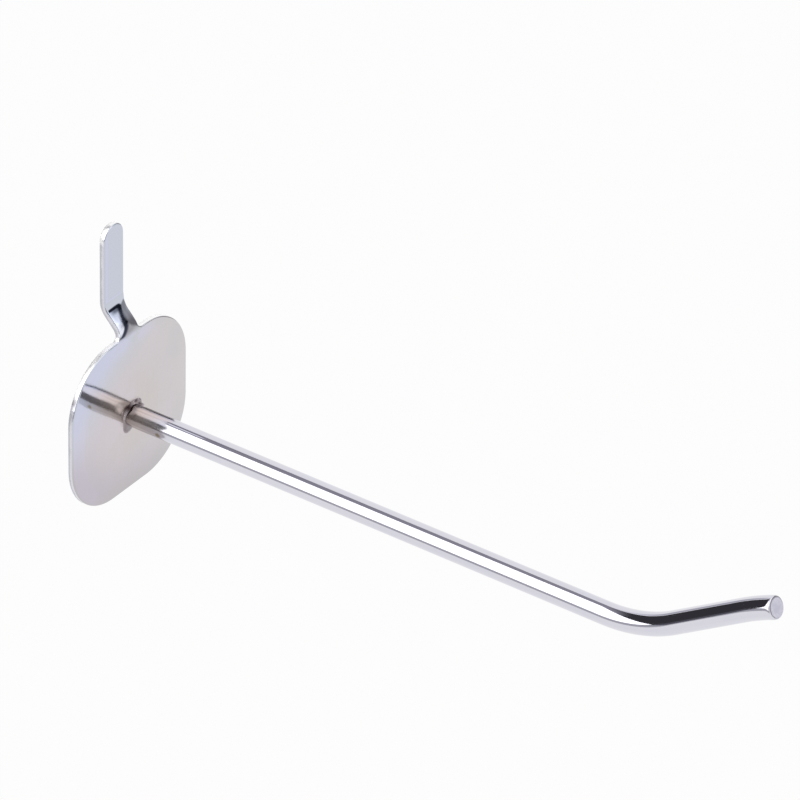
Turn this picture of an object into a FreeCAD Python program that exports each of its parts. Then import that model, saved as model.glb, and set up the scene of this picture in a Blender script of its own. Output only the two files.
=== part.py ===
import FreeCAD, Part
import math, os
from FreeCAD import Vector

# Pegboard hook: a stamped sheet plate whose tongue goes through a hole in the board,
# with a round rod arm welded to its face. Millimetres. The origin is on the arm's axis in
# the plane of the plate's back, +Y goes into the board, the arm runs along -Y, +Z is up.

# Sheet plate
sheet_thickness = 1.2
plate_width = 35.0
plate_height = 34.5
plate_top_flat = 12.0
plate_centre_height = 0.75
sheet_edge_radius = 0.25

# Tongue, drawn up from the plate's top edge and set back behind the board
tongue_width = 5.8
tongue_root_fillet = 1.0
tongue_top_height = 40.3
board_gap = 2.5
tongue_bend_start_height = 18.2
tongue_bend_inner_radius = 2.0
tongue_slope_deg = 41.5

# Rod arm
rod_diameter = 4.5
arm_straight_length = 107.4
arm_bend_radius = 28.4
arm_rise_deg = 31.6
arm_tip_length = 16.7
arm_end_bend_radius = 45.0
arm_end_bend_deg = 10.0
arm_end_edge_radius = 0.45

# Weld bead round the arm's root
bead_radial_width = 1.25
bead_height_along_arm = 1.6
bead_toe_thickness = 0.15
bead_bulge_out = 0.82
bead_bulge_along_arm = 0.95

# Derived values
rod_radius = rod_diameter / 2
plate_corner_radius = (plate_width - plate_top_flat) / 2
plate_front_y = -sheet_thickness
plate_back_y = 0.0
plate_top_height = plate_centre_height + plate_height / 2
plate_bottom_height = plate_centre_height - plate_height / 2
tongue_mid_radius = tongue_bend_inner_radius + sheet_thickness / 2
tongue_set_back = board_gap + sheet_thickness
outline_margin = 5.0
full_turn_deg = 360
diagonal = math.sqrt(0.5)
flat_tolerance = 0.02
across = Vector(1, 0, 0)
into_board = Vector(0, 1, 0)


def arc(start, through, end):
    return Part.Arc(start, through, end).toShape()


def line(start, end):
    return Part.makeLine(start, end)


# Side view of the sheet: flat plate, two opposite bends, upright tongue
def sheet_side_view():
    slope = math.radians(tongue_slope_deg)
    set_back_in_bends = 2 * tongue_mid_radius * (1 - math.cos(slope))
    slope_length = (tongue_set_back - set_back_in_bends) / math.sin(slope)
    inner = tongue_bend_inner_radius
    outer = inner + sheet_thickness

    def on_circle(centre_y, centre_z, radius, angle):
        return Vector(0, centre_y + radius * math.cos(angle), centre_z + radius * math.sin(angle))

    def shifted(point, distance):
        along = Vector(0, math.sin(slope), math.cos(slope))
        return point + along * distance

    low_y = plate_back_y + inner
    low_z = tongue_bend_start_height
    at_half = math.pi - slope / 2
    at_full = math.pi - slope
    front_low = Vector(0, plate_front_y, low_z)
    front_low_mid = on_circle(low_y, low_z, outer, at_half)
    front_low_end = on_circle(low_y, low_z, outer, at_full)
    back_low = Vector(0, plate_back_y, low_z)
    back_low_mid = on_circle(low_y, low_z, inner, at_half)
    back_low_end = on_circle(low_y, low_z, inner, at_full)
    front_high_start = shifted(front_low_end, slope_length)
    back_high_start = shifted(back_low_end, slope_length)

    high_y = board_gap - inner
    high_z = front_high_start.z + inner * math.sin(slope)
    front_high_mid = on_circle(high_y, high_z, inner, -slope / 2)
    front_high_end = Vector(0, board_gap, high_z)
    back_high_mid = on_circle(high_y, high_z, outer, -slope / 2)
    back_high_end = Vector(0, tongue_set_back, high_z)
    top_z = tongue_top_height + outline_margin
    bottom_z = plate_bottom_height - outline_margin
    front_top = Vector(0, board_gap, top_z)
    back_top = Vector(0, tongue_set_back, top_z)
    front_bottom = Vector(0, plate_front_y, bottom_z)
    back_bottom = Vector(0, plate_back_y, bottom_z)
    return Part.Wire([
        line(front_bottom, front_low),
        arc(front_low, front_low_mid, front_low_end),
        line(front_low_end, front_high_start),
        arc(front_high_start, front_high_mid, front_high_end),
        line(front_high_end, front_top),
        line(front_top, back_top),
        line(back_top, back_high_end),
        arc(back_high_end, back_high_mid, back_high_start),
        line(back_high_start, back_low_end),
        arc(back_low_end, back_low_mid, back_low),
        line(back_low, back_bottom),
        line(back_bottom, front_bottom),
    ])


# Front view of the sheet: rounded square plate, filleted tongue root, round tongue end
def sheet_front_view():
    half_width = plate_width / 2
    corner = plate_corner_radius
    flat_half = half_width - corner
    side_top = plate_top_height - corner
    side_bottom = plate_bottom_height + corner
    tongue_half = tongue_width / 2
    root = tongue_half + tongue_root_fillet
    root_top = plate_top_height + tongue_root_fillet
    tongue_side_top = tongue_top_height - tongue_half

    def point(x, z):
        return Vector(x, 0, z)

    def corner_point(side, centre_z, up):
        return point(side * (flat_half + corner * diagonal), centre_z + up * corner * diagonal)

    def root_point(side):
        inward = tongue_root_fillet * diagonal
        return point(side * (root - inward), root_top - inward)

    return Part.Wire([
        line(point(-root, plate_top_height), point(-flat_half, plate_top_height)),
        arc(point(-flat_half, plate_top_height), corner_point(-1, side_top, 1),
            point(-half_width, side_top)),
        line(point(-half_width, side_top), point(-half_width, side_bottom)),
        arc(point(-half_width, side_bottom), corner_point(-1, side_bottom, -1),
            point(-flat_half, plate_bottom_height)),
        line(point(-flat_half, plate_bottom_height), point(flat_half, plate_bottom_height)),
        arc(point(flat_half, plate_bottom_height), corner_point(1, side_bottom, -1),
            point(half_width, side_bottom)),
        line(point(half_width, side_bottom), point(half_width, side_top)),
        arc(point(half_width, side_top), corner_point(1, side_top, 1),
            point(flat_half, plate_top_height)),
        line(point(flat_half, plate_top_height), point(root, plate_top_height)),
        arc(point(root, plate_top_height), root_point(1), point(tongue_half, root_top)),
        line(point(tongue_half, root_top), point(tongue_half, tongue_side_top)),
        arc(point(tongue_half, tongue_side_top), point(0, tongue_top_height),
            point(-tongue_half, tongue_side_top)),
        line(point(-tongue_half, tongue_side_top), point(-tongue_half, root_top)),
        arc(point(-tongue_half, root_top), root_point(-1), point(-root, plate_top_height)),
    ])


# The stamped sheet is the part common to both views, with its cut edges broken
def make_mounting_plate():
    reach = plate_width / 2 + outline_margin
    side_face = Part.Face(sheet_side_view())
    side_face.translate(Vector(-reach, 0, 0))
    side_solid = side_face.extrude(across * (2 * reach))
    depth = tongue_set_back + sheet_thickness + outline_margin
    front_face = Part.Face(sheet_front_view())
    front_face.translate(Vector(0, -depth, 0))
    front_solid = front_face.extrude(into_board * (2 * depth))
    sheet = side_solid.common(front_solid).removeSplitter().Solids[0]
    return sheet.makeFillet(sheet_edge_radius, cut_edges(sheet))


# Edges between the sheet's surfaces and its cut walls
def cut_edges(sheet):
    chosen = []
    walls = [face for face in sheet.Faces if is_cut_wall(face)]
    for edge in sheet.Edges:
        touching = [wall for wall in walls if has_edge(wall, edge)]
        if len(touching) == 1:
            chosen.append(edge)
    return chosen


def is_cut_wall(face):
    first_u, last_u, first_v, last_v = face.ParameterRange
    normal = face.normalAt((first_u + last_u) / 2, (first_v + last_v) / 2)
    faces_sideways = abs(normal.x) > flat_tolerance
    faces_straight_up_or_down = abs(normal.y) < flat_tolerance
    return faces_sideways or faces_straight_up_or_down


def has_edge(face, edge):
    return any(candidate.isSame(edge) for candidate in face.Edges)


# Arm's centre line: straight, turned up, short straight tip, slight droop at the cut end
def arm_path():
    rise = math.radians(arm_rise_deg)
    droop = math.radians(arm_end_bend_deg)

    def outward(angle):
        return Vector(0, -math.cos(angle), math.sin(angle))

    def upward(angle):
        return Vector(0, math.sin(angle), math.cos(angle))

    def along_bend(start, angle, turn, radius):
        side = 1 if turn > 0 else -1
        centre = start + upward(angle) * (side * radius)
        return centre - upward(angle + turn) * (side * radius)

    root = Vector(0, plate_front_y, 0)
    bend_start = root + outward(0) * arm_straight_length
    bend_mid = along_bend(bend_start, 0, rise / 2, arm_bend_radius)
    bend_end = along_bend(bend_start, 0, rise, arm_bend_radius)
    droop_start = bend_end + outward(rise) * arm_tip_length
    droop_mid = along_bend(droop_start, rise, -droop / 2, arm_end_bend_radius)
    droop_end = along_bend(droop_start, rise, -droop, arm_end_bend_radius)
    return Part.Wire([
        line(root, bend_start),
        arc(bend_start, bend_mid, bend_end),
        line(bend_end, droop_start),
        arc(droop_start, droop_mid, droop_end),
    ]), droop_end


# Round rod swept along its centre line, with the rim of the free end rounded
def make_hook_arm():
    path, free_end = arm_path()
    root = Vector(0, plate_front_y, 0)
    section = Part.Wire([Part.makeCircle(rod_radius, root, into_board)])
    rod = path.makePipeShell([section], True, False)
    rim = [edge for edge in rod.Edges if is_free_rim(edge, free_end)]
    return rod.makeFillet(arm_end_edge_radius, rim)


def is_free_rim(edge, free_end):
    closed = edge.isClosed()
    centre = edge.BoundBox.Center
    return closed and centre.distanceToPoint(free_end) < rod_radius / 2


# Ring of weld metal in the corner between the rod and the plate's face
def make_weld_bead():
    outer = rod_radius + bead_radial_width
    crest_y = plate_front_y - bead_height_along_arm
    toe_y = plate_front_y - bead_toe_thickness
    bulge = Vector(rod_radius + bead_bulge_out, plate_front_y - bead_bulge_along_arm, 0)
    plate_inner = Vector(rod_radius, plate_front_y, 0)
    plate_outer = Vector(outer, plate_front_y, 0)
    toe = Vector(outer, toe_y, 0)
    crest = Vector(rod_radius, crest_y, 0)
    outline = Part.Wire([
        line(plate_inner, plate_outer),
        line(plate_outer, toe),
        arc(toe, bulge, crest),
        line(crest, plate_inner),
    ])
    return Part.Face(outline).revolve(Vector(0, 0, 0), into_board, full_turn_deg)


nodes = {
    "mounting_plate": make_mounting_plate(),
    "hook_arm": make_hook_arm(),
    "weld_bead": make_weld_bead(),
}

os.makedirs("parts", exist_ok=True)
for name, shape in nodes.items():
    box = shape.optimalBoundingBox(False, False)
    spans = [box.XMin, box.XMax, box.YMin, box.YMax, box.ZMin, box.ZMax]
    print(name, shape.isValid(), len(shape.Solids), round(shape.Volume, 1), [round(v, 2) for v in spans])
    shape.exportStep("parts/" + name + ".step")
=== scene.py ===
import math

import bmesh
import bpy
from mathutils import Matrix, Vector


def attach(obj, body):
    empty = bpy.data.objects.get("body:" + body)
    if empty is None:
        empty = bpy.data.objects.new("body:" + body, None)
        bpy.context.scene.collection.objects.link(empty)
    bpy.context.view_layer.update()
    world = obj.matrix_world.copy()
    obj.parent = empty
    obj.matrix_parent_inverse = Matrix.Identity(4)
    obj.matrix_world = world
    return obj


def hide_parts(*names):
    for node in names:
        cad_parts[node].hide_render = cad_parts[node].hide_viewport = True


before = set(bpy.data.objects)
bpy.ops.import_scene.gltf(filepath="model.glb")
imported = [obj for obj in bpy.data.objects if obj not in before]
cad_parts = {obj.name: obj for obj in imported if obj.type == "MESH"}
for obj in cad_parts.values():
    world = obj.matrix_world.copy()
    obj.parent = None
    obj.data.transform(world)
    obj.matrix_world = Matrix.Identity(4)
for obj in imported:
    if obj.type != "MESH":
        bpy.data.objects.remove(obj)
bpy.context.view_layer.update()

# Pegboard hook: chrome plated sheet plate with a set-back tongue, and a round rod arm
# welded to its face. Metres, in the model's own frame: the arm runs along -Y, +Z is up.

MM = 0.001
MICRON = 0.000001

# The sheet, as it is stamped and then bent
SHEET = 1.2 * MM
PLATE_WIDTH = 35.0 * MM
PLATE_HEIGHT = 34.0 * MM
PLATE_CORNER = 12.4 * MM
PLATE_MIDDLE_Z = 0.5 * MM
PLATE_TOP = PLATE_MIDDLE_Z + PLATE_HEIGHT / 2
PLATE_BOTTOM = PLATE_MIDDLE_Z - PLATE_HEIGHT / 2
SHEET_EDGE = 0.25 * MM
TONGUE_WIDTH = 5.8 * MM
TONGUE_ROOT = 1.0 * MM
TONGUE_TOP = 40.3 * MM
BOARD_GAP = 2.5 * MM
BEND_START = 18.2 * MM
BEND_INNER = 2.0 * MM
BEND_SLOPE = math.radians(43.5)
BEND_MIDDLE = BEND_INNER + SHEET / 2
TOP_BEND = 3.6 * MM
SET_BACK = BOARD_GAP + SHEET
BOTH_BENDS = BEND_MIDDLE + TOP_BEND
SLOPE_RUN = (SET_BACK - BOTH_BENDS * (1 - math.cos(BEND_SLOPE))) / math.sin(BEND_SLOPE)
BEND_RISE = BOTH_BENDS * math.sin(BEND_SLOPE) + SLOPE_RUN * math.cos(BEND_SLOPE)
BEND_END = BEND_START + BOTH_BENDS * BEND_SLOPE + SLOPE_RUN
BLANK_TOP = BEND_END + TONGUE_TOP - BEND_START - BEND_RISE

# How far the joggle curls back on its right side, from a ridge that leans to the right
CURL = 0.85 * MM
CURL_LEFT = 0.25
CURL_LEFT_LOW = 1.9
RIDGE_LOW = -2.0 * MM
RIDGE_HIGH = 0.5 * MM
CURL_LEAD = 1.4 * MM
CURL_RISE = 3.2 * MM
CURL_TAIL = 0.6 * MM
CURL_FALL = 3.4 * MM
CURL_FADE = 1.3 * MM

# Die roll along the punched outline, the pull round the weld, and the slight dish
ROLL_WIDTH, ROLL_DEPTH = 3.2 * MM, 0.10 * MM
TONGUE_ROLL_WIDTH, TONGUE_ROLL_DEPTH = 0.8 * MM, 0.04 * MM
WELD_PULL, WELD_PULL_WIDTH = 0.20 * MM, 5.6 * MM
DISH, DISH_WIDTH = 0.06 * MM, 14 * MM

# How fine the sheet's mesh is: steps round its corners and edges, and the grid over its face
CORNER_STEPS, ROOT_STEPS, TOP_STEPS, EDGE_STEPS = 28, 10, 20, 4
BACK_EDGE = 0.3 * SHEET_EDGE
FACE_BORDER = 0.06 * MM
PLATE_GRID, TONGUE_GRID, BEND_GRID, TOP_GRID = 0.7 * MM, 0.4 * MM, 0.15 * MM, 1.5 * MM
BEND_GRID_BELOW, BEND_GRID_ABOVE, BEND_GRID_BESIDE = 2.4 * MM, 2 * MM, 6 * MM

# The rod arm
ROD = 2.25 * MM
ARM_ROOT_Y = -SHEET
ARM_STRAIGHT = 107.4 * MM
ARM_BEND = 28.4 * MM
ARM_RISE = math.radians(31.6)
ARM_TIP = 16.7 * MM
ARM_DROOP_BEND = 45.0 * MM
ARM_DROOP = math.radians(10.0)
ROD_SIDES = 96
BEND_STEPS, DROOP_STEPS = 40, 20
STRAIGHT_SHARES, TIP_SHARES = (0.02, 0.96, 0.02), (0.06, 0.88, 0.06)
BEND_CENTRE = Vector((0, ARM_ROOT_Y - ARM_STRAIGHT, ARM_BEND))
TIP_OUT = Vector((0, -math.cos(ARM_RISE), math.sin(ARM_RISE)))
TIP_UP = Vector((0, math.sin(ARM_RISE), math.cos(ARM_RISE)))
TIP_START = BEND_CENTRE - TIP_UP * ARM_BEND
DROOP_CENTRE = TIP_START + TIP_OUT * ARM_TIP - TIP_UP * ARM_DROOP_BEND

# Its hot end, rounded as it is pressed on: the crevice, and the shoulder beyond it. A side is
# an angle round the rod, from +X towards +Z, and a width, both in radians.
ROOT_STRETCH = 4.0 * MM
ROOT_RINGS = 40
PINCH, PINCH_LENGTH = 0.36 * MM, 0.16 * MM
SHOULDER, SHOULDER_LEFT, SHOULDER_LENGTH = 0.09 * MM, 0.35 * MM, 1.15 * MM
# How far the crevice's painted shade reaches out from the flash.
CREASE_LENGTH = 0.20 * MM
CREVICE_CLOSED, CREVICE_OPEN = 0.08, 0.92
CREVICE_SIDE, SHOULDER_SIDE = (1.75, 0.62), (1.9, 0.9)

# Its cut end: how far out each ring lies, and the ring's radius
CROP_LENGTH = 1.75 * MM
CROP_PROFILE = [(0.5 * MM, 2.25 * MM), (0.8 * MM, 2.245 * MM), (1.0 * MM, 2.23 * MM),
                (1.15 * MM, 2.205 * MM), (1.28 * MM, 2.17 * MM), (1.38 * MM, 2.13 * MM),
                (1.45 * MM, 2.06 * MM), (1.49 * MM, 1.97 * MM)]
CAP_SHARES = (0.12, 0.2, 0.2, 0.2)

# The weld flash. Each bulge has its angle, its width and its size: in mm, or as a share of the
# flash's thickness. Each pit, a spot of painted shade, has its angle and its share of the way
# from the rod to the toe.
FLASH_STEPS = 22
FLASH_SIDES = 240
FLASH_LIFT = 0.04 * MM
FLASH_CLIMB = [(0.50, 0.65, 0.7), (2.2, 0.55, 0.32)]
FLASH_SPREAD = [(0.52, 0.70, 1.30), (4.4, 0.70, 1.70)]
FLASH_THIN = [(4.4, 0.8, 0.6), (2.6, 0.6, 0.5)]
FLASH_PITS = [(1.06, 0.75), (0.40, 0.70), (0.75, 0.35)]
FLASH_HEIGHT, FLASH_REACH = 0.27, 0.08
FLASH_IN, FLASH_IN_CREVICE = 0.15 * MM, 0.30 * MM
SWELL_OUT, SWELL_FORWARD, SWELL_LEAST = 0.156 * MM, 0.195 * MM, 0.15
BEAD_SIDE, BEAD_SWELL, BEAD_DEPTH = (0.5, 0.70), 1.8, 1.9
# Sides of the flash, and its pits, that get painted shade.
DARK_SIDE, DULL_SIDE, DULL_SHADE = (2.0, 0.60), (4.1, 0.8), 0.38
PIT_ANGLE, PIT_WIDTH, PIT_SHADE = 0.17, 0.22, 0.85

# Small marks: place, radius in metres and strength of two dark spots on the cut edge; the
# tan stain on the straight rod; the middle of the torn part of the cut end
EDGE_MARKS = [((-16.65 * MM, -0.6 * MM, 10.8 * MM), 0.0011, 0.75),
              ((-10.5 * MM, -0.6 * MM, 17.1 * MM), 0.0008, 0.35)]
STAIN_PLACE = (-2.17 * MM, -9.15 * MM, -0.56 * MM)
TEAR_CENTRE = (0.22 * MM, -144.48 * MM, 16.19 * MM)


def mesh_object(name, bm):
    """A mesh object at the origin, made from a filled bmesh."""
    mesh = bpy.data.meshes.new(name)
    bm.to_mesh(mesh)
    bm.free()
    made = bpy.data.objects.new(name, mesh)
    bpy.context.scene.collection.objects.link(made)
    return made


def new_piece(name, fill):
    """A smooth piece of the hook, which fill draws in an empty bmesh."""
    bm = bmesh.new()
    fill(bm)
    bmesh.ops.recalc_face_normals(bm, faces=bm.faces)
    for face in bm.faces:
        face.smooth = True
    return mesh_object(name, bm)


def verts_in(result):
    return [part for part in result["geom"] if isinstance(part, bmesh.types.BMVert)]


def edges_in(result):
    return [part for part in result["geom"] if isinstance(part, bmesh.types.BMEdge)]


def verts_of(edges):
    return list({vert for edge in edges for vert in edge.verts})


# Stamped plate with its tongue

def stamp_sheet(bm):
    """Flat blank in the XZ plane, front face at -SHEET, then bent and set back."""
    half = PLATE_WIDTH / 2
    tongue = TONGUE_WIDTH / 2
    outline = [
        (-half, PLATE_BOTTOM), (half, PLATE_BOTTOM), (half, PLATE_TOP), (tongue, PLATE_TOP),
        (tongue, BLANK_TOP), (-tongue, BLANK_TOP), (-tongue, PLATE_TOP), (-half, PLATE_TOP),
    ]
    corners = [bm.verts.new((x, -SHEET, z)) for x, z in outline]
    bm.faces.new(corners)
    round_corners(bm, [corners[i] for i in (0, 1, 2, 7)], PLATE_CORNER, CORNER_STEPS)
    round_corners(bm, corner_verts(bm, tongue, PLATE_TOP), TONGUE_ROOT, ROOT_STEPS)
    round_corners(bm, corner_verts(bm, tongue, BLANK_TOP), tongue * 0.9999, TOP_STEPS)
    bmesh.ops.remove_doubles(bm, verts=bm.verts, dist=0.002 * MM)
    result = bmesh.ops.extrude_face_region(bm, geom=bm.faces[:])
    bmesh.ops.translate(bm, verts=verts_in(result), vec=(0, SHEET, 0))
    bmesh.ops.recalc_face_normals(bm, faces=bm.faces)
    for depth, radius in ((-SHEET, SHEET_EDGE), (0.0, BACK_EDGE)):
        rims = [edge for edge in bm.edges
                if is_rim(edge) and abs(edge.verts[0].co.y - depth) < 1e-6]
        bmesh.ops.bevel(bm, geom=rims, offset=radius, segments=EDGE_STEPS, profile=0.5,
                        affect="EDGES", material=-1, clamp_overlap=True)
    flats = [face for face in bm.faces if abs(face.normal.y) > 0.999]
    bmesh.ops.inset_individual(bm, faces=flats, thickness=FACE_BORDER)
    cut_grid(bm)
    through = bm.verts.layers.float.new("through")
    for face in bm.faces:
        back_rim = face.calc_center_median().y > -SHEET_EDGE and face.normal.y < 0.98
        face.material_index = 1 if abs(face.normal.y) < 0.05 or back_rim else 0
    for vert in bm.verts:
        vert[through] = vert.co.y / SHEET + 1
        vert.co = formed(vert.co)


def corner_verts(bm, x, z):
    bm.verts.ensure_lookup_table()
    return [v for v in bm.verts
            if abs(abs(v.co.x) - x) < 1e-7 and abs(v.co.z - z) < 1e-7]


def round_corners(bm, verts, radius, steps):
    bmesh.ops.bevel(bm, geom=verts, offset=radius, segments=steps, profile=0.5,
                    affect="VERTICES", material=-1)


def is_rim(edge):
    """An edge between a flat of the sheet and its cut wall."""
    if len(edge.link_faces) != 2:
        return False
    flatness = [abs(face.normal.y) > 0.5 for face in edge.link_faces]
    return flatness[0] != flatness[1]


def cut_grid(bm):
    """Cuts across the blank, close together where it is bent or domed."""
    for x in spaced(-PLATE_WIDTH / 2, PLATE_WIDTH / 2, PLATE_GRID):
        cut(bm, Vector((x, 0, 0)), Vector((1, 0, 0)))
    for x in spaced(-TONGUE_WIDTH / 2, TONGUE_WIDTH / 2, TONGUE_GRID):
        cut(bm, Vector((x, 0, 0)), Vector((1, 0, 0)), above=PLATE_TOP - 1 * MM)
    for z in spaced(PLATE_BOTTOM, PLATE_TOP, PLATE_GRID):
        cut(bm, Vector((0, 0, z)), Vector((0, 0, 1)))
    for z in spaced(PLATE_TOP - BEND_GRID_BELOW, BEND_END + BEND_GRID_ABOVE, BEND_GRID):
        cut(bm, Vector((0, 0, z)), Vector((0, 0, 1)), beside=BEND_GRID_BESIDE)
    for z in spaced(BEND_END + BEND_GRID_ABOVE, BLANK_TOP, TOP_GRID):
        cut(bm, Vector((0, 0, z)), Vector((0, 0, 1)))


def spaced(low, high, step):
    count = max(2, round((high - low) / step))
    return [low + (high - low) * i / count for i in range(1, count)]


def cut(bm, point, normal, above=None, beside=None):
    """Cuts the faces above a height, or within a distance from the middle, along a plane."""
    faces = bm.faces[:]
    if above is not None:
        faces = [f for f in faces if f.calc_center_median().z > above]
    if beside is not None:
        faces = [f for f in faces if abs(f.calc_center_median().x) < beside]
    parts = set(faces)
    for face in faces:
        parts.update(face.edges)
        parts.update(face.verts)
    bmesh.ops.bisect_plane(bm, geom=list(parts), dist=1e-8, plane_co=point, plane_no=normal)


def formed(point):
    """Where a point of the flat blank goes when the tongue is bent back and the plate domed."""
    x, across, run = point.x, point.y + SHEET / 2, point.z
    middle_y, middle_z, angle = bend_line(run)
    out_y, out_z = math.cos(angle), -math.sin(angle)
    front = min(max(0.5 - across / SHEET, 0.0), 1.0)
    proud = dome(x, run) - lag(x, run) - front * die_roll(x, run)
    return Vector((
        x,
        middle_y + (across - proud) * out_y,
        middle_z + (across - proud) * out_z,
    ))


def bend_line(run):
    """Middle of the sheet in side view: its y, its z and its lean from upright."""
    start_y = -SHEET / 2
    if run <= BEND_START:
        return start_y, run, 0.0
    run -= BEND_START
    low_centre_y = start_y + BEND_MIDDLE
    if run <= BEND_MIDDLE * BEND_SLOPE:
        angle = run / BEND_MIDDLE
        y = low_centre_y - BEND_MIDDLE * math.cos(angle)
        return y, BEND_START + BEND_MIDDLE * math.sin(angle), angle
    run -= BEND_MIDDLE * BEND_SLOPE
    y = low_centre_y - BEND_MIDDLE * math.cos(BEND_SLOPE)
    z = BEND_START + BEND_MIDDLE * math.sin(BEND_SLOPE)
    if run <= SLOPE_RUN:
        return y + run * math.sin(BEND_SLOPE), z + run * math.cos(BEND_SLOPE), BEND_SLOPE
    run -= SLOPE_RUN
    y += SLOPE_RUN * math.sin(BEND_SLOPE)
    z += SLOPE_RUN * math.cos(BEND_SLOPE)
    high_centre_y = y - TOP_BEND * math.cos(BEND_SLOPE)
    high_centre_z = z + TOP_BEND * math.sin(BEND_SLOPE)
    if run <= TOP_BEND * BEND_SLOPE:
        angle = BEND_SLOPE - run / TOP_BEND
        return (high_centre_y + TOP_BEND * math.cos(angle),
                high_centre_z - TOP_BEND * math.sin(angle), angle)
    run -= TOP_BEND * BEND_SLOPE
    return high_centre_y + TOP_BEND, high_centre_z + run, 0.0


def lag(x, run):
    """The joggle curls back on its right side, where the sheet was drawn less by the tool."""
    half = TONGUE_WIDTH / 2
    beyond = max(abs(x) - half, 0.0)
    up = ease((run - BEND_START) / (BEND_END - BEND_START))
    ridge = RIDGE_LOW + (RIDGE_HIGH - RIDGE_LOW) * up
    from_ridge = (min(max(x, -half), half) - ridge) / (half - ridge)
    if from_ridge < 0:
        from_ridge *= CURL_LEFT + CURL_LEFT_LOW * (1 - up) ** 4
    rising = ease((run - BEND_START + CURL_LEAD) / CURL_RISE)
    falling = ease((BEND_END - CURL_TAIL - run) / CURL_FALL)
    return CURL * from_ridge ** 2 * rising * falling * bell(beyond / CURL_FADE)


def ease(part):
    part = min(max(part, 0.0), 1.0)
    return part * part * (3 - 2 * part)


def bell(distance):
    return math.exp(-distance ** 2)


def dome(x, run):
    """The plate is pulled forward round the weld, and very slightly dished further out."""
    distance = math.hypot(x, run)
    pulled = WELD_PULL * bell(distance / WELD_PULL_WIDTH)
    dished = DISH * min(distance / DISH_WIDTH, 1.0) ** 2 if run < BEND_START else DISH
    return pulled + dished - DISH


def die_roll(x, run):
    """The punched front face turns back softly along its outline, less on the tongue."""
    tongue = min(max((run - PLATE_TOP + 1.0 * MM) / (2.0 * MM), 0.0), 1.0)
    width = ROLL_WIDTH * (1 - tongue) + TONGUE_ROLL_WIDTH * tongue
    depth = ROLL_DEPTH * (1 - tongue) + TONGUE_ROLL_DEPTH * tongue
    inward = math.hypot(max(plate_margin(x, run), 0.0), max(tongue_margin(x, run), 0.0))
    return depth * max(0.0, 1 - inward / width) ** 2


def plate_margin(x, z):
    """How far a point lies inside the plate's round-cornered outline."""
    over_x = abs(x) - PLATE_WIDTH / 2 + PLATE_CORNER
    over_z = abs(z - PLATE_MIDDLE_Z) - PLATE_HEIGHT / 2 + PLATE_CORNER
    outside = math.hypot(max(over_x, 0.0), max(over_z, 0.0))
    return PLATE_CORNER - outside - min(max(over_x, over_z), 0.0)


def tongue_margin(x, run):
    return TONGUE_WIDTH / 2 - abs(x) if run > 0 else 0.0


# Rod arm

def draw_rod(bm):
    """A circle drawn out from the plate, along the straight, both bends and the cut end."""
    bmesh.ops.create_circle(
        bm, cap_ends=False, segments=ROD_SIDES, radius=ROD,
        matrix=Matrix.Translation((0, ARM_ROOT_Y, 0)) @ Matrix.Rotation(math.pi / 2, 4, "X"))
    rim = bm.edges[:]
    bmesh.ops.contextual_create(bm, geom=rim)
    for i in range(ROOT_RINGS):
        rim = pull(bm, rim, Vector((0, -ROOT_STRETCH / ROOT_RINGS, 0)))
    length = ARM_STRAIGHT - ROOT_STRETCH
    for share in STRAIGHT_SHARES:
        rim = pull(bm, rim, Vector((0, -length * share, 0)))
    rim = turn(bm, rim, BEND_CENTRE, ARM_RISE, BEND_STEPS)
    for share in TIP_SHARES:
        rim = pull(bm, rim, TIP_OUT * ARM_TIP * share)
    droop = ARM_DROOP - CROP_LENGTH / ARM_DROOP_BEND
    rim = turn(bm, rim, DROOP_CENTRE, -droop, DROOP_STEPS)
    crop_end(bm, rim)
    for vert in bm.verts:
        vert.co = upset(vert.co)


def pull(bm, rim, offset):
    result = bmesh.ops.extrude_edge_only(bm, edges=rim)
    bmesh.ops.translate(bm, verts=verts_in(result), vec=offset)
    return edges_in_ring(result)


def turn(bm, rim, centre, angle, steps):
    result = bmesh.ops.spin(bm, geom=rim, cent=centre, axis=(-1, 0, 0), dvec=(0, 0, 0),
                            angle=angle, steps=steps, use_merge=False, use_duplicate=False)
    return [part for part in result["geom_last"] if isinstance(part, bmesh.types.BMEdge)]


def edges_in_ring(result):
    """The edges of the newest ring, without the ones that join it to the last."""
    new = set(verts_in(result))
    return [edge for edge in edges_in(result) if edge.verts[0] in new and edge.verts[1] in new]


def crop_end(bm, rim):
    """The cut end: the shears roll the last millimetre over, then come a tight rim and a flat."""
    angle = ARM_RISE - ARM_DROOP + CROP_LENGTH / ARM_DROOP_BEND / 2
    outward = Vector((0, -math.cos(angle), math.sin(angle)))
    verts = verts_of(rim)
    middle = sum((v.co for v in verts), Vector()) / len(verts)
    done, radius = 0.0, ROD
    for along, size in CROP_PROFILE:
        rim = pull(bm, rim, outward * (along - done))
        middle = middle + outward * (along - done)
        bmesh.ops.scale(bm, verts=verts_of(rim), vec=(size / radius,) * 3,
                        space=Matrix.Translation(-middle))
        done, radius = along, size
    face = bmesh.ops.contextual_create(bm, geom=rim)["faces"]
    for share in CAP_SHARES:
        bmesh.ops.inset_region(bm, faces=face, thickness=radius * share, use_even_offset=True)
    cut_faces = [f for f in bm.faces if f.normal.dot(outward) > 0.9
                 and (f.calc_center_median() - middle).length < radius]
    for flat in cut_faces:
        flat.material_index = 1


def upset(point):
    """The rod's hot end is rounded as it is pressed on, with a crevice next to the flash."""
    place = root_place(point)
    if place is None:
        return point
    out, around, away = place
    pinch = PINCH * crevice(around) * bell(away / PINCH_LENGTH)
    rounding = SHOULDER + SHOULDER_LEFT * side_of(around, *SHOULDER_SIDE)
    scale = 1 - (pinch + rounding * bell(away / SHOULDER_LENGTH)) / out
    return Vector((point.x * scale, point.y, point.z * scale))


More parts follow.
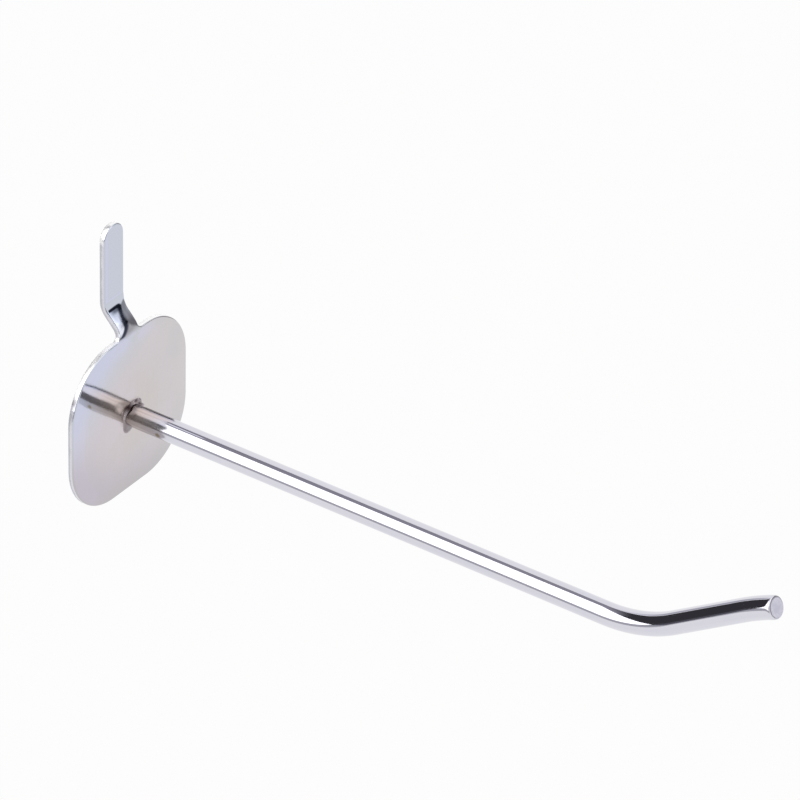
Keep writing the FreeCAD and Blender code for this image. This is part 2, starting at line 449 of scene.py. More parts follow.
def root_place(point):
    """Distance from the axis, angle round it, and distance out from the flash, near the root."""
    out = math.hypot(point.x, point.z)
    forward = ARM_ROOT_Y - point.y
    if forward > ROOT_STRETCH or out < ROD / 2:
        return None
    around = math.atan2(point.z, point.x)
    return out, around, max(forward - flash_height(around) - dome(ROD, 0), 0.0)


def crevice(around):
    """How open the crevice is: gaping at the upper left, nearly closed below."""
    return CREVICE_CLOSED + CREVICE_OPEN * side_of(around, *CREVICE_SIDE)


def crease_shade(point):
    """Painted shade on the arm, by how deep in the crevice a point lies, from 0 to 1."""
    place = root_place(point)
    if place is None:
        return 0.0
    _, around, away = place
    return crevice(around) * bell(away / CREASE_LENGTH)


def unbent(point):
    """Where a point of the arm lay when the rod was still straight."""
    start = Vector((0, ARM_ROOT_Y - ARM_STRAIGHT, 0))
    if point.y > start.y:
        return point
    arm = point - BEND_CENTRE
    angle = math.atan2(-arm.y, -arm.z)
    if angle < ARM_RISE:
        height = ARM_BEND - math.hypot(arm.y, arm.z)
        return Vector((point.x, start.y - ARM_BEND * angle, height))
    tip = point - TIP_START
    along, height = tip.dot(TIP_OUT), tip.dot(TIP_UP)
    if along > ARM_TIP:
        arm = point - DROOP_CENTRE
        along = ARM_TIP + ARM_DROOP_BEND * math.atan2(arm.dot(TIP_OUT), arm.dot(TIP_UP))
        height = arm.length - ARM_DROOP_BEND
    return Vector((point.x, start.y - ARM_BEND * ARM_RISE - along, height))


# Weld flash

def flash_height(around):
    """How far the flash climbs the rod, from the plate's domed face."""
    uneven = 0.09 * math.cos(around - 3.9) + 0.03 * math.sin(3 * around + 1.0)
    return (FLASH_HEIGHT + uneven + 0.02 * math.sin(7 * around) + bulges(around, FLASH_CLIMB)) * MM


def flash_reach(around):
    """How far it spreads over the plate: lumps at the upper right, a thin smear at lower left."""
    return (FLASH_REACH + 0.05 * math.sin(5 * around) + bulges(around, FLASH_SPREAD)) * MM


def bulges(around, rows):
    return sum(size * side_of(around, towards, width) for towards, width, size in rows)


def flash_lump(around, part):
    """Small beads and ripples on the flash, as a share of its thickness."""
    beads = math.sin(8 * around + 3 * part) * math.sin(9 * part + 2 * around)
    ripples = 0.06 * math.sin(17 * around + 7 * part) + 0.03 * math.sin(29 * around - 6 * part)
    return 1 + side_of(around, *BEAD_SIDE) * (BEAD_SWELL + BEAD_DEPTH * beads) + ripples


def side_of(around, towards, width):
    """1 on the side that faces an angle, falling to 0 away from it."""
    turned = math.atan2(math.sin(around - towards), math.cos(around - towards))
    return bell(turned / width)


def lay_flash(bm):
    """A ring of weld metal that was squeezed out as the rod was pressed on."""
    profile = [bm.verts.new((1 + i / FLASH_STEPS, 0, 0)) for i in range(FLASH_STEPS + 1)]
    edges = [bm.edges.new(pair) for pair in zip(profile, profile[1:])]
    bmesh.ops.spin(bm, geom=profile + edges, cent=(0, 0, 0), axis=(0, 1, 0), dvec=(0, 0, 0),
                   angle=math.tau, steps=FLASH_SIDES, use_merge=True, use_duplicate=False)
    bmesh.ops.remove_doubles(bm, verts=bm.verts, dist=0.0001)
    painted_crease_shade = bm.verts.layers.float.new("painted_crease_shade")
    for vert in bm.verts:
        around = math.atan2(vert.co.z, vert.co.x)
        part = min(max(math.hypot(vert.co.x, vert.co.z) - 1, 0.0), 1.0)
        vert.co = flash_point(around, part)
        vert[painted_crease_shade] = flash_crease(around, part)


def flash_point(around, part):
    """A point of the flash, part of the way from the rod (0) to its toe on the plate (1)."""
    swell = math.sin(math.pi * part) * (1 - part) ** 0.7 * (1 - bulges(around, FLASH_THIN))
    swell *= max(flash_lump(around, part), SWELL_LEAST)
    lean = part * math.pi / 2
    inner = ROD - FLASH_IN - FLASH_IN_CREVICE * crevice(around)
    outer = ROD + flash_reach(around)
    out = inner + (outer - inner) * (1 - math.cos(lean)) + SWELL_OUT * swell
    forward = (flash_height(around) - FLASH_LIFT) * math.cos(lean) ** 2 + SWELL_FORWARD * swell
    if part > 0.999:
        forward = -FLASH_LIFT
    x, z = out * math.cos(around), out * math.sin(around)
    return Vector((x, ARM_ROOT_Y - forward - dome(x, z), z))


def flash_crease(around, part):
    """Painted shade on the flash: at the crevice, at the lower left and in the pits."""
    toe = 1 - ease((part - 0.75) / 0.25)
    pits = max(side_of(around, towards, PIT_ANGLE) * bell((part - at) / PIT_WIDTH)
               for towards, at in FLASH_PITS)
    return max(side_of(around, *DARK_SIDE), DULL_SHADE * side_of(around, *DULL_SIDE) * toe,
               PIT_SHADE * pits)


plate = new_piece("stamped_plate", stamp_sheet)
arm = new_piece("rod_arm", draw_rod)
flash = new_piece("root_weld", lay_flash)
for piece, node, finish in ((plate, "mounting_plate", "plate_chrome"),
                            (arm, "hook_arm", "rod_chrome"),
                            (flash, "weld_bead", "weld_chrome")):
    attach(piece, "root")
    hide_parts(node)

# Each point of the arm keeps where it lay when straight, and the painted shade of the crevice.
arm.data.attributes.new("straight", "FLOAT_VECTOR", "POINT")
arm.data.attributes.new("painted_crease_shade", "FLOAT", "POINT")
straight, painted_shades = arm.data.attributes["straight"].data, arm.data.attributes["painted_crease_shade"].data
for vert in arm.data.vertices:
    straight[vert.index].vector = unbent(vert.co)
    painted_shades[vert.index].value = crease_shade(vert.co)


# Node helpers

def add(tree, kind, settings=None, **sockets):
    """A node with its settings, and with its sockets set or linked by name."""
    made = tree.nodes.new("ShaderNode" + kind)
    for name, value in (settings or {}).items():
        setattr(made, name, value)
    for name, value in sockets.items():
        feed(tree, made.inputs[name.replace("_", " ")], value)
    return made


def feed(tree, socket, value):
    """Links a socket to another one, or sets it. A colour may leave out its alpha."""
    if isinstance(value, bpy.types.NodeSocket):
        tree.links.new(value, socket)
    elif socket.type == "RGBA" and len(value) == 3:
        socket.default_value = (*value, 1)
    else:
        socket.default_value = value


def maths(tree, operation, *values, clamp=False):
    made = add(tree, "Math", {"operation": operation, "use_clamp": clamp})
    for socket, value in zip(made.inputs, values):
        feed(tree, socket, value)
    return made.outputs[0]


def times(tree, *values):
    """The product of two or more values."""
    product = values[0]
    for value in values[1:]:
        product = maths(tree, "MULTIPLY", product, value)
    return product


def weighted(tree, base, *parts):
    """A base, plus each value times its weight."""
    for value, weight in parts:
        base = maths(tree, "MULTIPLY_ADD", value, weight, base)
    return base


def spread(tree, value, low, high, to_low=0.0, to_high=1.0):
    """Maps a value smoothly from one span to another."""
    made = add(tree, "MapRange", {"interpolation_type": "SMOOTHSTEP"}, Value=value)
    made.inputs["From Min"].default_value = low
    made.inputs["From Max"].default_value = high
    made.inputs["To Min"].default_value = to_low
    made.inputs["To Max"].default_value = to_high
    return made.outputs["Result"]


def window(tree, value, rise, fall):
    """1 between a rising span and a falling one, both in mm, and 0 outside them."""
    rising = spread(tree, value, rise[0] * MM, rise[1] * MM)
    falling = spread(tree, value, fall[0] * MM, fall[1] * MM, 1.0, 0.0)
    return times(tree, rising, falling)


def distance_to(tree, place, point):
    made = add(tree, "VectorMath", {"operation": "DISTANCE"})
    feed(tree, made.inputs[0], place)
    made.inputs[1].default_value = point
    return made.outputs["Value"]


def attribute(tree, name, output="Fac"):
    return add(tree, "Attribute", {"attribute_name": name}).outputs[output]


def blend(tree, share, first, second):
    made = add(tree, "Mix", {"data_type": "RGBA"})
    feed(tree, made.inputs[0], share)
    feed(tree, made.inputs[6], first)
    feed(tree, made.inputs[7], second)
    return made.outputs[2]


def layered(tree, colour, *layers):
    """A colour under layers, each with its mask and its own colour."""
    for mask, layer in layers:
        colour = blend(tree, mask, colour, layer)
    return colour


def shader_group(name, inputs, outputs):
    """An empty node group: the group, the sockets it is given and the ones it gives."""
    group = bpy.data.node_groups.new(name, "ShaderNodeTree")
    for socket, kind in inputs:
        group.interface.new_socket(socket, in_out="INPUT", socket_type="NodeSocket" + kind)
    for socket in outputs:
        group.interface.new_socket(socket, in_out="OUTPUT", socket_type="NodeSocketFloat")
    given, result = group.nodes.new("NodeGroupInput"), group.nodes.new("NodeGroupOutput")
    return group, given.outputs, result.inputs


def use(tree, group, **sockets):
    made = tree.nodes.new("ShaderNodeGroup")
    made.node_tree = group
    for name, value in sockets.items():
        feed(tree, made.inputs[name.replace("_", " ")], value)
    return made.outputs


# Effects that the finishes share

def make_plating_haze():
    """Soft clouds and a fine grain in the plating, and the waviness under it."""
    group, given, result = shader_group(
        "plating haze", (("Vector", "Vector"), ("Cloud scale", "Float"), ("Grain scale", "Float")),
        ("Clouds", "Grain", "Waves"))
    cloud = add(group, "TexNoise", Vector=given["Vector"], Scale=given["Cloud scale"],
                Detail=3.0, Roughness=0.5).outputs[0]
    grain = add(group, "TexNoise", Vector=given["Vector"], Scale=given["Grain scale"],
                Detail=2.0, Roughness=0.6).outputs[0]
    wide = add(group, "TexNoise", Vector=given["Vector"], Detail=1.0,
               Scale=times(group, given["Cloud scale"], 3.0)).outputs[0]
    feed(group, result["Clouds"], spread(group, cloud, 0.3, 0.7))
    feed(group, result["Grain"], grain)
    feed(group, result["Waves"], wide)
    return group


def make_drawn_lines():
    """Long fine lines along one axis, as drawing or shearing leaves them."""
    group, given, result = shader_group(
        "drawn lines", (("Vector", "Vector"), ("Stretch", "Vector")), ("Lines", "Broad lines"))
    drawn = add(group, "VectorMath", {"operation": "MULTIPLY"})
    feed(group, drawn.inputs[0], given["Vector"])
    feed(group, drawn.inputs[1], given["Stretch"])
    fine = add(group, "TexNoise", Vector=drawn.outputs[0], Scale=1.0, Detail=4.0, Roughness=0.65)
    broad = add(group, "TexNoise", Vector=drawn.outputs[0], Scale=0.22, Detail=2.0)
    feed(group, result["Lines"], fine.outputs[0])
    feed(group, result["Broad lines"], broad.outputs[0])
    return group


def make_weld_heat():
    """Masks round the arm's root: a wide straw haze, and the dark burn next to the weld."""
    group, given, result = shader_group(
        "weld heat", (("Vector", "Vector"), ("Straw reach", "Float"), ("Burn reach", "Float")),
        ("Straw", "Burn"))
    away = distance_to(group, given["Vector"], (0, ARM_ROOT_Y, 0))
    ragged = add(group, "TexNoise", Vector=given["Vector"], Scale=900.0, Detail=4.0, Roughness=0.6)
    inward = maths(group, "SUBTRACT", away, 1.1 * MM)
    shifted = weighted(group, inward, (ragged.outputs[0], 2.2 * MM))
    for name, reach, start in (("Straw", "Straw reach", 0.25), ("Burn", "Burn reach", 0.55)):
        near = maths(group, "DIVIDE", shifted, given[reach])
        feed(group, result[name], spread(group, near, start, 1.0, 1.0, 0.0))
    return group


def make_specks():
    """Scattered pits and dust specks."""
    group, given, result = shader_group(
        "specks", (("Vector", "Vector"), ("Scale", "Float"), ("Size", "Float")), ("Specks",))
    cells = add(group, "TexVoronoi", Vector=given["Vector"], Scale=given["Scale"])
    chosen = maths(group, "GREATER_THAN",
                   add(group, "SeparateColor", Color=cells.outputs["Color"]).outputs[0], 0.72)
    inside = maths(group, "SUBTRACT", given["Size"], cells.outputs["Distance"])
    soft = maths(group, "MULTIPLY", inside, 8.0, clamp=True)
    feed(group, result["Specks"], times(group, chosen, soft))
    return group


PLATING_HAZE = make_plating_haze()
DRAWN_LINES = make_drawn_lines()
WELD_HEAT = make_weld_heat()
SPECKS = make_specks()


# Finishes

def metal(name):
    """An empty metal finish: its tree, its shader and its Object coordinates."""
    material = bpy.data.materials.new(name)
    material.use_nodes = True
    tree = material.node_tree
    shader = tree.nodes["Principled BSDF"]
    shader.inputs["Metallic"].default_value = 1.0
    return material, tree, shader, add(tree, "TexCoord").outputs["Object"]


def bump(tree, shader, *layers):
    """Stacks height layers, each with its depth in microns, into the shader's normal."""
    normal = None
    for height, depth in layers:
        made = add(tree, "Bump", Height=height, Distance=depth * MICRON)
        if normal is not None:
            feed(tree, made.inputs["Normal"], normal)
        normal = made.outputs[0]
    feed(tree, shader.inputs["Normal"], normal)


def plate_chrome():
    """Chrome on pressed sheet: faint colour drift, haze, fine grain, heat tint at the weld."""
    material, tree, shader, place = metal("plate chrome")
    haze = use(tree, PLATING_HAZE, Vector=place, Cloud_scale=95.0, Grain_scale=5200.0)
    heat = use(tree, WELD_HEAT, Vector=place, Straw_reach=17 * MM, Burn_reach=3.7 * MM)
    specks = use(tree, SPECKS, Vector=place, Scale=420.0, Size=0.09)
    lines = use(tree, DRAWN_LINES, Vector=place, Stretch=(500.0, 500.0, 5200.0))
    axes = add(tree, "SeparateXYZ", Vector=place).outputs
    through = attribute(tree, "through")
    upper_left = maths(tree, "SUBTRACT", times(tree, axes["Z"], 1.2), axes["X"])
    painted_shade_level = weighted(tree, axes["Z"], (axes["X"], 0.45))
    burn = times(tree, heat["Burn"], spread(tree, through, 0.0, 1.0, 0.6, 0.2))
    # Painted corner shade, dark and light painted reflections, and a dull strip on the joggle.
    painted_corner_shade, painted_dark_line, painted_light_reflection, rubbed = joggle_painted_light_and_wear(tree, axes, through, haze["Waves"])
    drift = blend(tree, haze["Clouds"], (0.590, 0.574, 0.592), (0.620, 0.590, 0.600))
    feed(tree, shader.inputs["Base Color"], layered(
        tree, drift,
        # Painted shade: the plate grows darker towards its bottom.
        (spread(tree, painted_shade_level, -17 * MM, -1 * MM, 0.8, 0.0), (0.48, 0.455, 0.475)),
        (spread(tree, upper_left, 8 * MM, 27 * MM), (0.560, 0.590, 0.665)),
        (times(tree, heat["Straw"], 0.75), (0.60, 0.555, 0.535)),
        (burn, (0.34, 0.275, 0.255)),
        (times(tree, specks["Specks"], 0.45), (0.33, 0.30, 0.29)),
        # The joggle's painted reflections, light and dark, and its painted corner shade.
        (painted_light_reflection, (0.80, 0.82, 0.90)),
        (painted_corner_shade, (0.34, 0.33, 0.365)),
        (painted_dark_line, (0.032, 0.038, 0.062))))
    feed(tree, shader.inputs["Roughness"], weighted(
        tree, 0.045, (haze["Clouds"], 0.03), (lines["Lines"], 0.02), (heat["Burn"], 0.16),
        (times(tree, heat["Straw"], haze["Grain"]), 0.13), (rubbed, 0.30)))
    uneven = times(tree, haze["Waves"], heat["Straw"])
    bump(tree, shader, (haze["Waves"], 4), (uneven, 30), (haze["Grain"], 0.3))
    return material


# Painted shade and painted reflections on the joggle, and the strip rubbed dull: heights over
# which each mask rises and falls, and the same for offsets to the right of a line that leans
# across the sheet. All in mm.
LINE_LEAN = 1.065
LINE_BOW = 0.9
BOW_HEIGHTS = (19.4, 20.8)
PAINTED_SHADE_HEIGHTS = ((17.5, 19.1), (19.9, 21.4))
LINE_HEIGHTS = ((17.6, 18.2), (20.3, 21.1))
ARCH_HEIGHTS = ((22.2, 22.7), (23.1, 23.4))
ARCH_WIDTHS = ((-2.6, -1.2), (0.6, 1.2))
ARCH_DARKNESS = 0.7
PAINTED_LIGHT_HEIGHTS = ((18.3, 19.2), (21.2, 22.4))
RUBBED_HEIGHTS = ((19.0, 19.6), (20.3, 20.7))
LINE_LEFT, LINE_RIGHT, RUBBED_RIGHT = (-22.5, -21.9), (-21.3, -20.2), (-21.6, -20.9)
RAGGEDNESS = 0.8


def joggle_painted_light_and_wear(tree, axes, through, ragged):
    """Painted shade and painted reflections on the joggle's front face, and a strip rubbed dull.

    Gives masks of a grey painted shade in the corner, a dark painted reflection in a line and an
    arch at its left, a lighter painted reflection beyond them, and the strip the bending tool has
    rubbed dull. Front face only.
    """
    height = weighted(tree, axes["Z"], (ragged, RAGGEDNESS * MM))
    bow = spread(tree, axes["Z"], BOW_HEIGHTS[0] * MM, BOW_HEIGHTS[1] * MM, 0.0, LINE_BOW * MM)
    slanted = maths(tree, "ADD", weighted(tree, axes["X"], (axes["Z"], -LINE_LEAN)), bow)
    rightward = spread(tree, slanted, LINE_LEFT[0] * MM, LINE_LEFT[1] * MM)
    painted_corner_shade = times(tree, window(tree, height, *PAINTED_SHADE_HEIGHTS), rightward)
    painted_dark_line = times(tree, window(tree, slanted, LINE_LEFT, LINE_RIGHT),
                 window(tree, axes["Z"], *LINE_HEIGHTS))
    painted_dark_arch = times(tree, window(tree, height, *ARCH_HEIGHTS), window(tree, axes["X"], *ARCH_WIDTHS),
                 ARCH_DARKNESS)
    dark = maths(tree, "MAXIMUM", painted_dark_line, painted_dark_arch)
    painted_light_reflection = maths(tree, "SUBTRACT", window(tree, axes["Z"], *PAINTED_LIGHT_HEIGHTS), rightward,
                      clamp=True)
    left = spread(tree, slanted, RUBBED_RIGHT[0] * MM, RUBBED_RIGHT[1] * MM, 1.0, 0.0)
    rubbed = times(tree, window(tree, axes["Z"], *RUBBED_HEIGHTS), left)
    front = maths(tree, "SUBTRACT", 1.0, through, clamp=True)
    return [times(tree, mask, front) for mask in (painted_corner_shade, dark, painted_light_reflection, rubbed)]


def sheared_edge():
    """The punched wall: half burnished, half torn and matt, with painted light where it faces up.
    """
    material, tree, shader, place = metal("plate sheared edge")
    depth = attribute(tree, "through")
    height = add(tree, "SeparateXYZ", Vector=place).outputs["Z"]
    # Painted light where the wall faces up: the plate's upper corners and the tongue's top.
    corners = window(tree, height, (11.0, 12.6), (17.4, 18.8))
    painted_top_light = maths(tree, "ADD", corners, spread(tree, height, 36.6 * MM, 37.8 * MM), clamp=True)
    haze = use(tree, PLATING_HAZE, Vector=place, Cloud_scale=380.0, Grain_scale=6500.0)
    lines = use(tree, DRAWN_LINES, Vector=place, Stretch=(4200.0, 500.0, 4200.0))
    torn = spread(tree, weighted(tree, depth, (haze["Clouds"], 0.22)), 0.62, 0.74)
    bright = blend(tree, lines["Lines"], (0.66, 0.655, 0.71), (0.74, 0.73, 0.77))
    colour = layered(tree, bright, (torn, (0.58, 0.58, 0.63)), (painted_top_light, (0.97, 0.97, 0.97)))
    for spot, radius, strength in EDGE_MARKS:
        ragged = weighted(tree, distance_to(tree, place, spot), (haze["Grain"], radius))
        mark = spread(tree, ragged, radius, radius * 1.6, strength, 0.0)
        colour = blend(tree, mark, colour, (0.24, 0.22, 0.23))
    feed(tree, shader.inputs["Base Color"], colour)
    feed(tree, shader.inputs["Roughness"],
         weighted(tree, 0.24, (haze["Clouds"], 0.1), (torn, 0.16)))
    bump(tree, shader, (lines["Lines"], 4), (haze["Grain"], 1))
    return material


def rod_chrome():
    """Chrome on drawn rod: lines along the rod, heat tint at the root and one tan stain."""
    material, tree, shader, place = metal("rod chrome")
    rod_place = attribute(tree, "straight", "Vector")
    haze = use(tree, PLATING_HAZE, Vector=rod_place, Cloud_scale=120.0, Grain_scale=5600.0)
    lines = use(tree, DRAWN_LINES, Vector=rod_place, Stretch=(5200.0, 150.0, 5200.0))
    heat = use(tree, WELD_HEAT, Vector=place, Straw_reach=12.5 * MM, Burn_reach=4.0 * MM)
    specks = use(tree, SPECKS, Vector=rod_place, Scale=330.0, Size=0.07)
    fringe = weighted(tree, distance_to(tree, rod_place, STAIN_PLACE), (haze["Grain"], 0.3 * MM))
    stain = spread(tree, fringe, 0.35 * MM, 0.95 * MM, 1.0, 0.0)
    streaks = spread(tree, lines["Broad lines"], 0.40, 0.60)
    painted_crease_shade = attribute(tree, "painted_crease_shade")
    base = blend(tree, haze["Clouds"], (0.685, 0.682, 0.752), (0.705, 0.692, 0.75))
    feed(tree, shader.inputs["Base Color"], layered(
        tree, base,
        (spread(tree, lines["Broad lines"], 0.35, 0.75, 0.0, 0.35), (0.62, 0.62, 0.70)),
        (times(tree, heat["Straw"], 0.85), (0.68, 0.635, 0.62)),
        (times(tree, heat["Straw"], streaks, 0.40), (0.32, 0.27, 0.26)),
        (times(tree, heat["Burn"], 0.42), (0.38, 0.32, 0.30)),
        # Painted shade in the crevice at the root.
        (painted_crease_shade, (0.05, 0.03, 0.032)),
        (times(tree, stain, 0.9), (0.33, 0.26, 0.15)),
        (times(tree, specks["Specks"], 0.3), (0.40, 0.39, 0.42))))
    feed(tree, shader.inputs["Roughness"], weighted(
        tree, 0.03, (lines["Lines"], 0.035), (haze["Clouds"], 0.02), (heat["Straw"], 0.19),
        (painted_crease_shade, 0.4)))
    bump(tree, shader, (haze["Waves"], 1), (lines["Lines"], 0.6))
    return material


def sheared_end():
    """The arm's cut end: a burnished crescent in painted shade where the blade went in, rest torn
    matt.
    """
    material, tree, shader, place = metal("rod sheared end")
    haze = use(tree, PLATING_HAZE, Vector=place, Cloud_scale=520.0, Grain_scale=4200.0)
    tear = use(tree, DRAWN_LINES, Vector=place, Stretch=(650.0, 3600.0, 3600.0))
    specks = use(tree, SPECKS, Vector=place, Scale=1500.0, Size=0.22)
    ragged = weighted(tree, distance_to(tree, place, TEAR_CENTRE), (haze["Grain"], 0.3 * MM))
    # The crescent is burnished smoother, and darker in painted shade.
    burnish_and_shade = spread(tree, ragged, 1.85 * MM, 2.15 * MM)
    base = blend(tree, haze["Clouds"], (0.61, 0.60, 0.69), (0.71, 0.70, 0.78))
    feed(tree, shader.inputs["Base Color"], layered(
        tree, base,
        (times(tree, specks["Specks"], 0.25), (0.55, 0.54, 0.60)),
        (burnish_and_shade, (0.28, 0.27, 0.31))))
    feed(tree, shader.inputs["Roughness"],
         weighted(tree, 0.5, (haze["Grain"], 0.15), (burnish_and_shade, -0.40)))
    bump(tree, shader, (tear["Lines"], 20), (haze["Grain"], 10))
    return material


def weld_chrome():
    """Plated weld flash: dull pinkish grey, brown where it was hottest, painted shade in creases.
    """
    material, tree, shader, place = metal("weld chrome")
    haze = use(tree, PLATING_HAZE, Vector=place, Cloud_scale=800.0, Grain_scale=6000.0)
    specks = use(tree, SPECKS, Vector=place, Scale=1300.0, Size=0.25)
    painted_crease_shade = attribute(tree, "painted_crease_shade")
    base = blend(tree, haze["Clouds"], (0.38, 0.33, 0.345), (0.60, 0.555, 0.57))
    feed(tree, shader.inputs["Base Color"], layered(
        tree, base,
        (times(tree, specks["Specks"], 0.5), (0.16, 0.12, 0.12)),
        # Painted shade in the flash's creases.
        (painted_crease_shade, (0.06, 0.038, 0.04))))
    feed(tree, shader.inputs["Roughness"],
         weighted(tree, 0.40, (haze["Clouds"], 0.18), (painted_crease_shade, 0.2)))
    bump(tree, shader, (haze["Waves"], 30), (haze["Grain"], 6))
    return material


for piece, finishes in ((plate, (plate_chrome, sheared_edge)),
                        (arm, (rod_chrome, sheared_end)),
                        (flash, (weld_chrome,))):
    for finish in finishes:
        piece.data.materials.append(finish())


# Camera

def place_camera():
    """Where the photo was taken from: angles in degrees, distance and shifts in metres."""
    azimuth, elevation, roll = math.radians(-55.176), math.radians(33.533), math.radians(1.256)
    distance, shift_right, shift_up = 1.43055, 0.051336, 0.0021555
    back = Vector((math.sin(azimuth) * math.cos(elevation),
                   -math.cos(azimuth) * math.cos(elevation), math.sin(elevation)))
    level = Vector((math.cos(azimuth), math.sin(azimuth), 0))
    upright = back.cross(level)
    right = level * math.cos(roll) + upright * math.sin(roll)
    up = upright * math.cos(roll) - level * math.sin(roll)
    data = bpy.data.cameras.new("camera")
    data.sensor_fit = "HORIZONTAL"
    data.sensor_width = 36
    data.lens = 344.4
    data.clip_end = 20
    camera = bpy.data.objects.new("camera", data)
    spot = back * distance + right * shift_right + up * shift_up
    facing = Matrix((right, up, back)).transposed().to_4x4()
    camera.matrix_world = Matrix.Translation(spot) @ facing
    bpy.context.scene.collection.objects.link(camera)
    bpy.context.scene.camera = camera


place_camera()


# Studio: floor, white world, and the softboxes and dark flags that the metal mirrors

FLOOR_Z = -0.60
FLOOR_RADIUS = 2.0
FLOOR_GLOW = 0.9
WORLD_LIGHT = 0.85
WORLD_SEEN = 1.0
LAMP_POWER = 5.0
LAMP_SIZE = 1.2
LAMP_DISTANCE = 1.9
CARD_DISTANCE = 2.2
CARD_STEPS = 6
HARD_RIM = 0.05


def direction(azimuth, elevation):
    a, e = math.radians(azimuth), math.radians(elevation)
    return Vector((math.cos(a) * math.cos(e), math.sin(a) * math.cos(e), math.sin(e)))


def empty_material(name):
    material = bpy.data.materials.new(name)
    material.use_nodes = True
    material.node_tree.nodes.clear()
    return material, material.node_tree


def mix_shaders(tree, share, first, second):
    made = add(tree, "MixShader", Fac=share)
    feed(tree, made.inputs[1], first)
    feed(tree, made.inputs[2], second)
    return made.outputs[0]


def studio_card(name, corners, colour, strength, top_strength=None, fade=(0, 60), soft=0.0,
                distance=CARD_DISTANCE):
    """A panel far out, seen only in reflections. Corners are directions in degrees.

    Its glow may fade upwards between two elevations, and its rim may fade out.
    """
    bm = bmesh.new()
    cover = bm.verts.layers.float.new("cover")
    points = []
    for start, end in zip(corners, corners[1:] + corners[:1]):
        a, b = direction(*start), direction(*end)
        points += [a.lerp(b, i / CARD_STEPS).normalized() * distance for i in range(CARD_STEPS)]
    hub = bm.verts.new(sum(points, Vector()).normalized() * distance)
    ring = [bm.verts.new(point) for point in points]
    middle = [bm.verts.new(point.lerp(hub.co, max(soft, HARD_RIM))) for point in points]
    for vert in bm.verts:
        vert[cover] = 1.0
    for vert in ring:
        vert[cover] = 0.0 if soft else 1.0
    for i in range(len(ring)):
        bm.faces.new((ring[i - 1], ring[i], middle[i], middle[i - 1]))
        bm.faces.new((middle[i - 1], middle[i], hub))
    card = mesh_object(name, bm)
    material, tree = empty_material(name)
    glow = add(tree, "Emission", Color=colour, Strength=strength)
    if top_strength is not None:
        place = add(tree, "TexCoord").outputs["Object"]
        height = add(tree, "SeparateXYZ", Vector=place).outputs["Z"]
        low, high = (distance * math.sin(math.radians(e)) for e in fade)
        feed(tree, glow.inputs["Strength"], spread(tree, height, low, high, strength, top_strength))
    see_past = add(tree, "BsdfTransparent").outputs[0]
    panel = mix_shaders(tree, attribute(tree, "cover"), see_past, glow.outputs[0])
    add(tree, "OutputMaterial", Surface=panel)
    card.data.materials.append(material)
    for ray in ("visible_camera", "visible_diffuse", "visible_shadow", "visible_transmission"):
        setattr(card, ray, False)


def seen_rays(tree):
    """1 for the rays that the camera gets straight, mirrored or through glass, else 0."""
    rays = add(tree, "LightPath").outputs
    seen = maths(tree, "MAXIMUM", rays["Is Camera Ray"], rays["Is Glossy Ray"])
    return maths(tree, "MAXIMUM", seen, rays["Is Transmission Ray"])


def lay_floor():
    """White paper that also shows white in the metal, and can be seen through from below."""
    bm = bmesh.new()
    bmesh.ops.create_circle(bm, cap_ends=True, segments=96, radius=FLOOR_RADIUS,
                            matrix=Matrix.Translation((0, 0, FLOOR_Z)))
    floor = mesh_object("floor", bm)
    material, tree = empty_material("floor paper")
    matt = add(tree, "BsdfDiffuse", Color=(0.9, 0.9, 0.9)).outputs[0]
    glow = add(tree, "Emission", Color=(1, 1, 1)).outputs[0]
    paper = mix_shaders(tree, times(tree, seen_rays(tree), FLOOR_GLOW), matt, glow)
    below = add(tree, "NewGeometry").outputs["Backfacing"]
    see_past = add(tree, "BsdfTransparent").outputs[0]
    add(tree, "OutputMaterial", Surface=mix_shaders(tree, below, paper, see_past))
    floor.data.materials.append(material)


def light_studio():
    world = bpy.data.worlds.new("white studio")
    world.use_nodes = True
    tree = world.node_tree
    background = tree.nodes["Background"]
    feed(tree, background.inputs["Color"], (1, 1, 1))
    feed(tree, background.inputs["Strength"],
         spread(tree, seen_rays(tree), 0, 1, WORLD_LIGHT, WORLD_SEEN))
    bpy.context.scene.world = world
    data = bpy.data.lights.new("soft top lamp", "AREA")
    data.shape = "SQUARE"
    data.size = LAMP_SIZE
    data.energy = LAMP_POWER
    lamp = bpy.data.objects.new("soft top lamp", data)
    spot = direction(215, 55) * LAMP_DISTANCE
    lamp.matrix_world = Matrix.Translation(spot) @ spot.to_track_quat("Z", "Y").to_matrix().to_4x4()
    lamp.visible_glossy = False
    bpy.context.scene.collection.objects.link(lamp)


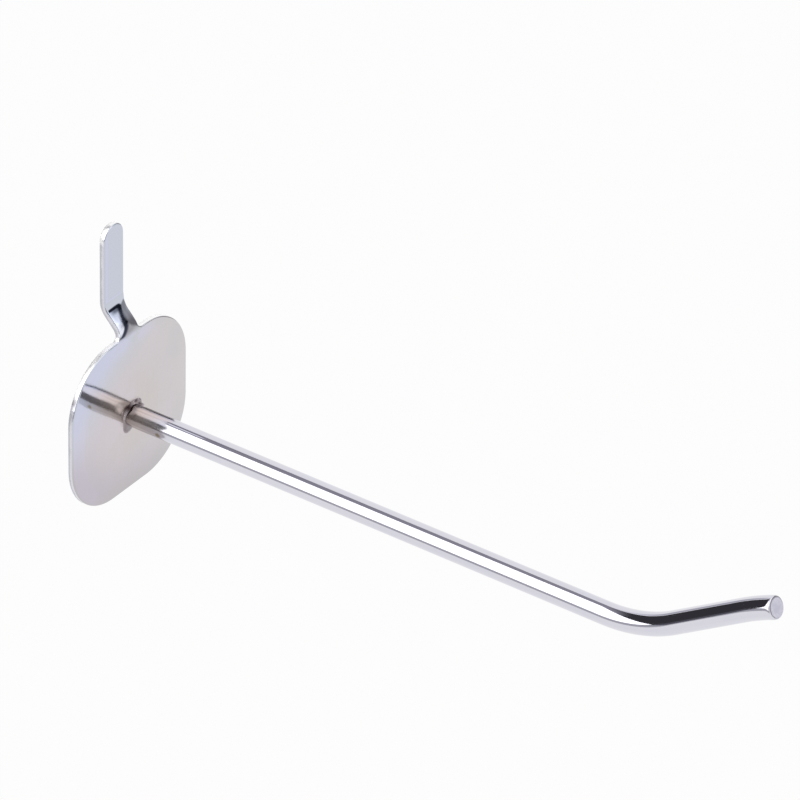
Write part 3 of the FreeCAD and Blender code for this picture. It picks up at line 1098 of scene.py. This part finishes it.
lay_floor()
light_studio()
studio_card("left softbox",
            [(137.5, 1), (129.5, 30), (119.9, 50), (111, 60), (95, 69), (150, 80), (195, 60),
             (195, 1)],
            (1, 1, 1), 2.0)
studio_card("upper front softbox",
            [(-28, 38), (-28, 60), (-95, 68), (-135, 62), (-150, 43.5), (-120, 43.5), (-92, 45),
             (-60, 38)],
            (1.0, 0.955, 0.92), 1.6)
studio_card("lower front softbox",
            [(-28, 30), (-28, 38), (-60, 38), (-92, 45), (-100, 30), (-72, 20), (-46, 14),
             (-36, 18)],
            (0.93, 0.97, 1.08), 1.35, soft=0.12, distance=2.35)
studio_card("back dark flag",
            [(133.5, -17), (133.5, 0), (137.5, 1), (129.5, 30), (119.9, 50), (111, 60), (95, 69),
             (42, 60), (76, 30), (76, 14), (74, 0), (84, -17)],
            (0.92, 0.89, 1.0), 0.045, 0.34, fade=(38, 58))
studio_card("back grey edge",
            [(42, 60), (76, 30), (76, 14), (74, 0), (84, -17), (64, -17), (56, 0), (58, 14),
             (56, 30)],
            (0.9, 0.9, 1.0), 0.5, 0.85, fade=(10, 50), soft=0.5)
studio_card("gap under the left softbox, dark end",
            [(133.5, -17), (140, -17), (140, 0.5), (133.5, 0.5)],
            (0.85, 0.85, 1.0), 0.12)
studio_card("gap under the left softbox",
            [(140, -17), (195, -17), (195, 0.5), (140, 0.5)],
            (0.95, 0.95, 1.0), 0.50)
studio_card("camera side flag",
            [(198, -12), (198, 25), (215, 42), (245, 43), (245, 20), (222, -12)],
            (1.0, 0.92, 0.87), 0.25)
studio_card("front dark flag",
            [(-59, 16), (-52, 13), (-45, 8), (-36, 6), (-26, 6), (-21, 12), (-24, 22), (-32, 27.5),
             (-39, 31), (-46, 33), (-59, 35)],
            (0.60, 0.68, 1.0), 0.055, soft=0.42)
studio_card("front low grey card",
            [(-34, -14), (-34, 10), (-24, 15), (-10, 12), (-8, -8), (-14, -16), (-28, -18)],
            (0.97, 0.95, 1.0), 0.38, soft=0.40, distance=2.3)
studio_card("front right half-tone",
            [(-30, -24), (-30, 30), (-4, 32), (16, 18), (16, -20), (-4, -26)],
            (0.97, 0.96, 1.0), 0.50, soft=0.30, distance=2.4)
studio_card("lavender side card",
            [(-37, -45), (-37, -23), (-62, -23), (-62, -45)],
            (1.03, 1.01, 1.10), 1.0, soft=0.12, distance=0.8)

scene = bpy.context.scene
scene.view_settings.view_transform = "Standard"
